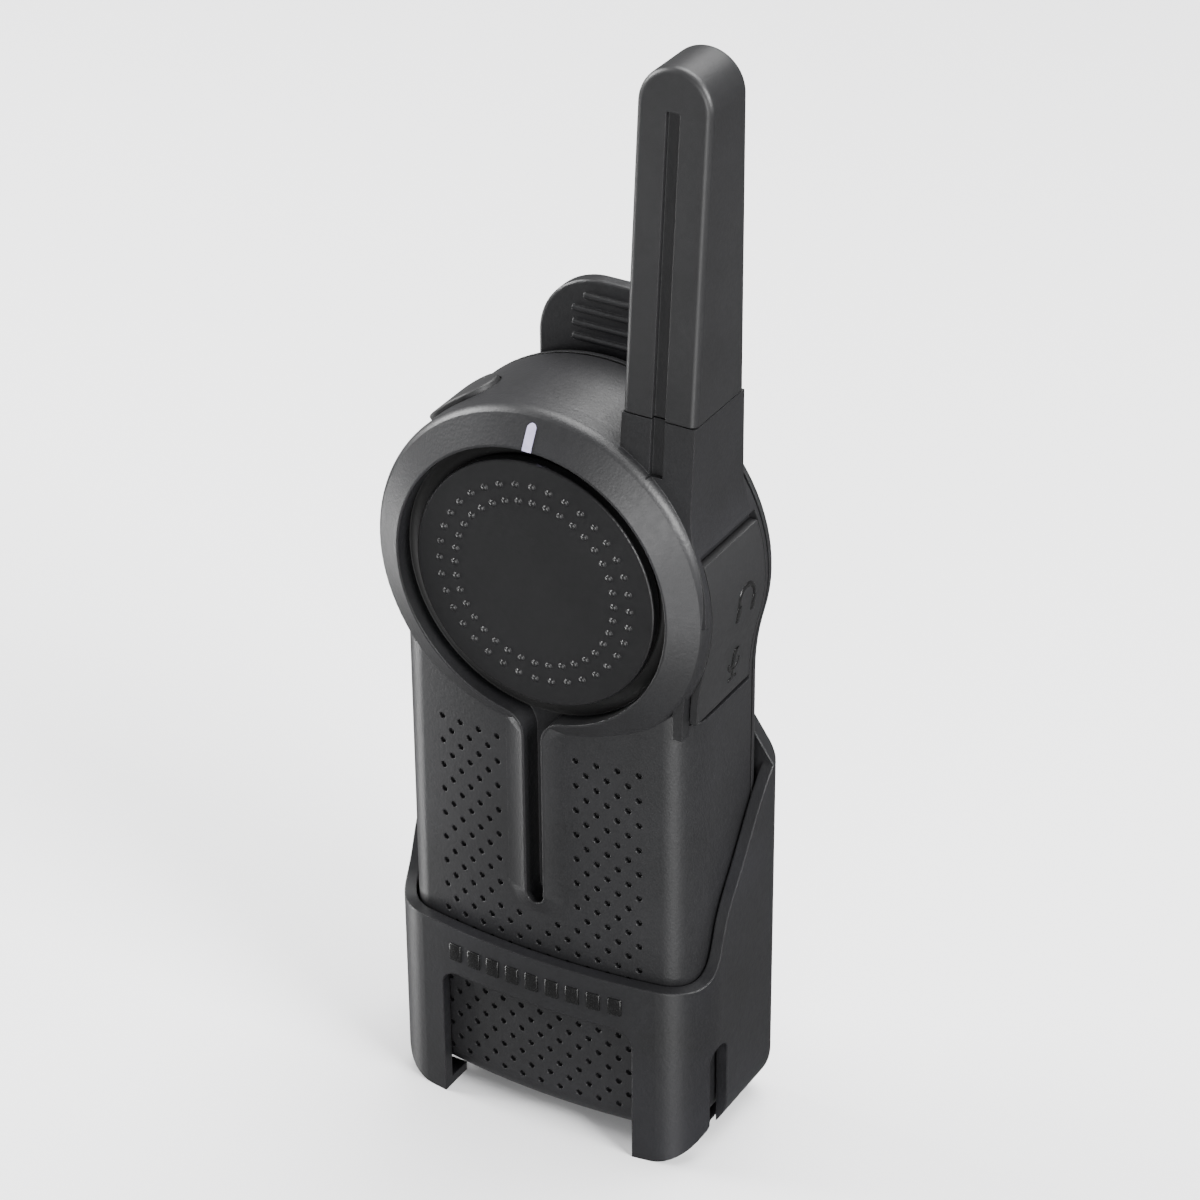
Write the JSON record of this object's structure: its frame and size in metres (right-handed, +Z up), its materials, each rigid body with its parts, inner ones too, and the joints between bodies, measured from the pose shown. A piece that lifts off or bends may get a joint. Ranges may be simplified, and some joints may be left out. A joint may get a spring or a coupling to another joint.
{
  "type": "portable radio",
  "caption": "Hand-held radio with a round front talk button and a fixed flat antenna, standing in a belt holster with a swivel clip.",
  "frame": {"origin": "on the standing surface under the holster's floor, centred in width, at the radio's mid-depth", "axes": "+Z up along the antenna, -Y towards the talk button, +X towards the antenna and the accessory cover"},
  "size_m": [0.0554, 0.0435, 0.1762],
  "materials": {
    "housing_black": "moulded polycarbonate blend, fine grain",
    "rear_black": "moulded polycarbonate blend, fine grain",
    "gasket_rubber": "soft elastomer",
    "button_satin": "satin moulded plastic",
    "membrane_rubber": "gloss-free elastomer",
    "light_pipe": "frosted clear acrylic",
    "led_package": "moulded lens",
    "antenna_black": "overmoulded elastomer",
    "radiator_metal": "tin-plated strip",
    "board_green": "solder mask",
    "chip_black": "moulded packages",
    "switch_metal": "stamped cover",
    "speaker_metal": "pressed frame",
    "mesh_cloth": "acoustic cloth",
    "mic_metal": "drawn can",
    "socket_plastic": "moulded block",
    "cover_rubber": "satin elastomer",
    "key_rubber": "satin elastomer",
    "battery_label": "shrink sleeve",
    "contact_gold": "gold plate",
    "screw_steel": "zinc plate",
    "holster_black": "moulded nylon, fine grain",
    "clip_black": "moulded acetal",
    "spring_steel": "drawn wire"
  },
  "bodies": {
    "holster": {"holster_shell": "holster_black", "swivel_screw": "screw_steel", "swivel_nut": "screw_steel"},
    "radio": {"front_housing": "housing_black", "rear_housing": "rear_black", "housing_gasket": "gasket_rubber", "housing_screws": "screw_steel", "ptt_membrane": "membrane_rubber", "led_light_pipe": "light_pipe", "led": "led_package", "antenna_sleeve": "antenna_black", "antenna_radiator": "radiator_metal", "main_board": "board_green", "board_chips": "chip_black", "ptt_switch": "switch_metal", "side_switches": "switch_metal", "speaker": "speaker_metal", "speaker_mesh": "mesh_cloth", "microphone": "mic_metal", "jack_socket": "socket_plastic", "battery_pack": "battery_label", "battery_contacts": "contact_gold", "battery_door": "rear_black", "charging_contacts": "contact_gold"},
    "talk_button": {"ptt_button": "button_satin"},
    "menu_button": {"top_button": "key_rubber"},
    "power_key": {"power_key": "key_rubber"},
    "volume_up": {"volume_up_key": "key_rubber"},
    "volume_down": {"volume_down_key": "key_rubber"},
    "socket_cover": {"accessory_cover": "cover_rubber"},
    "latch": {"battery_latch": "key_rubber"},
    "tab": {"release_tab": "holster_black"},
    "clip": {"swivel_disc": "clip_black", "clip_base": "clip_black", "clip_pin": "screw_steel", "clip_spring": "spring_steel"},
    "lever": {"clip_lever": "clip_black"}
  },
  "joints": [
    {"name": "radio_lift", "type": "slide", "parent": "holster", "child": "radio", "axis": [0, 0, 1], "range_m": [0, 0.1]},
    {"name": "talk_button_press", "type": "slide", "parent": "radio", "child": "talk_button", "axis": [0, 1, 0], "range_m": [0, 0.0006], "stiffness_N_per_m": 3000},
    {"name": "menu_button_press", "type": "slide", "parent": "radio", "child": "menu_button", "axis": [0.6293, 0, -0.7771], "range_m": [0, 0.0004], "stiffness_N_per_m": 3000},
    {"name": "power_key_press", "type": "slide", "parent": "radio", "child": "power_key", "axis": [1, 0, 0], "range_m": [0, 0.0004], "stiffness_N_per_m": 3000},
    {"name": "volume_up_press", "type": "slide", "parent": "radio", "child": "volume_up", "axis": [1, 0, 0], "range_m": [0, 0.0004], "stiffness_N_per_m": 3000},
    {"name": "volume_down_press", "type": "slide", "parent": "radio", "child": "volume_down", "axis": [1, 0, 0], "range_m": [0, 0.0004], "stiffness_N_per_m": 3000},
    {"name": "socket_cover_swing", "type": "hinge", "parent": "radio", "child": "socket_cover", "pos_m": [0.0244, 0, 0.0786], "axis": [0, 1, 0], "range_deg": [0, 100]},
    {"name": "battery_latch_slide", "type": "slide", "parent": "radio", "child": "latch", "axis": [0, 0, 1], "range_m": [0, 0.0015], "stiffness_N_per_m": 600},
    {"name": "release_tab_flex", "type": "hinge", "parent": "holster", "child": "tab", "pos_m": [0, 0.014, 0.10815], "axis": [-1, 0, 0], "range_deg": [0, 12], "stiffness_Nm_per_rad": 0.6},
    {"name": "clip_swivel", "type": "hinge", "parent": "holster", "child": "clip", "pos_m": [0, 0.0165, 0.072], "axis": [0, 1, 0], "continuous": true},
    {"name": "clip_lever_press", "type": "hinge", "parent": "clip", "child": "lever", "pos_m": [0, 0.02378, 0.09], "axis": [1, 0, 0], "range_deg": [0, 15], "stiffness_Nm_per_rad": 0.4, "springref_deg": -17.19}
  ]
}
